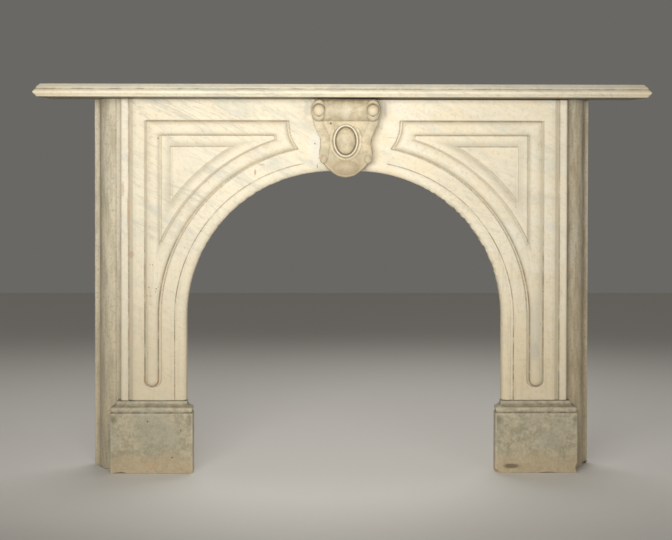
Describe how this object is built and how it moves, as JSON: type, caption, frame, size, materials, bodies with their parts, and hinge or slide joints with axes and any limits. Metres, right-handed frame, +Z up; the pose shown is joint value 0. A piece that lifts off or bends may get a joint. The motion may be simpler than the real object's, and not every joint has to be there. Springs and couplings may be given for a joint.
{
  "type": "arched fireplace mantel",
  "caption": "Arched marble chimneypiece: moulded shelf, carved spandrels, keystone cartouche, capped plinths and moulded side returns.",
  "frame": {"origin": "on the floor, below the middle of the shelf", "axes": "+X along the shelf to the right as seen from the room, +Y into the wall, +Z up"},
  "size_m": [1.83, 0.29, 1.176],
  "materials": {
    "marble": "worn polish, cream white with grey veins",
    "keystone_marble": "worn, browned by smoke and handling",
    "plinth_marble": "dull, soiled grey",
    "return_marble": "dull, grey cream"
  },
  "bodies": {
    "root": {"shelf": "marble", "arch_slab_left": "marble", "arch_slab_right": "marble", "keystone": "keystone_marble", "plinth_left": "plinth_marble", "plinth_right": "plinth_marble", "return_left": "return_marble", "return_right": "return_marble"}
  },
  "joints": []
}
